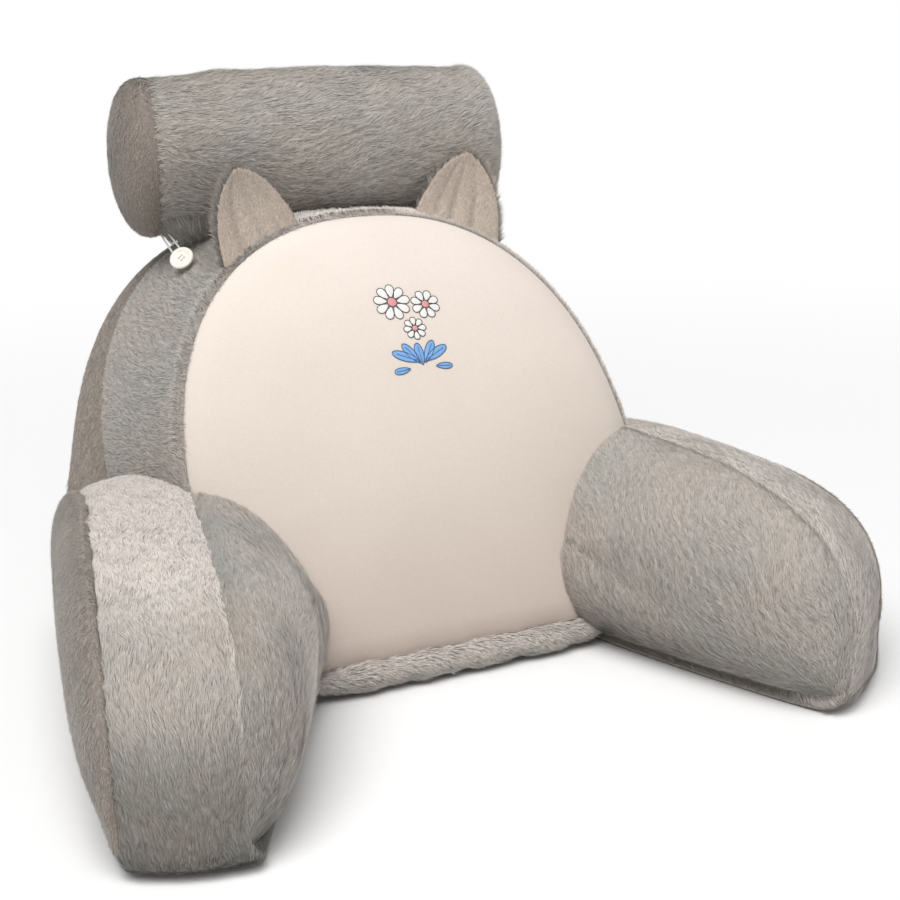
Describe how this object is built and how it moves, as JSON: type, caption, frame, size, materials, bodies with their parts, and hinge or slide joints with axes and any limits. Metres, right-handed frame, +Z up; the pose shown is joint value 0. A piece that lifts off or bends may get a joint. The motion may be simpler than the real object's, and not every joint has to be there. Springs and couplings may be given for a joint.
{
  "type": "reading pillow with arms",
  "caption": "Soft backrest for reading in bed, with a domed front panel, padded arms either side of the seat space, a neck roll and pointed ears.",
  "frame": {"origin": "middle of the back's flat base, on the surface it stands on", "axes": "+Z up, the front panel faces -Y, +X to the right of someone looking at the front"},
  "size_m": [0.8154, 0.7671, 0.58],
  "materials": {
    "grey_fur": "long soft pile",
    "cream_velvet": "matt short velvet",
    "taupe_plush": "matt short plush",
    "cream_resin": "polished",
    "pale_elastic": "woven elastic"
  },
  "bodies": {
    "root": {"back_cushion": "grey_fur", "front_panel": "cream_velvet", "back_panel": "taupe_plush", "base_strip": "grey_fur", "arm_left": "grey_fur", "arm_right": "grey_fur", "arm_inner_left": "grey_fur", "arm_inner_right": "grey_fur", "arm_outer_left": "taupe_plush", "arm_outer_right": "taupe_plush", "bolster": "grey_fur", "bolster_cap_left": "taupe_plush", "bolster_cap_right": "taupe_plush", "ear_left": "taupe_plush", "ear_right": "taupe_plush", "button_left": "cream_resin", "button_right": "cream_resin", "loop_left": "pale_elastic", "loop_right": "pale_elastic"}
  },
  "joints": []
}
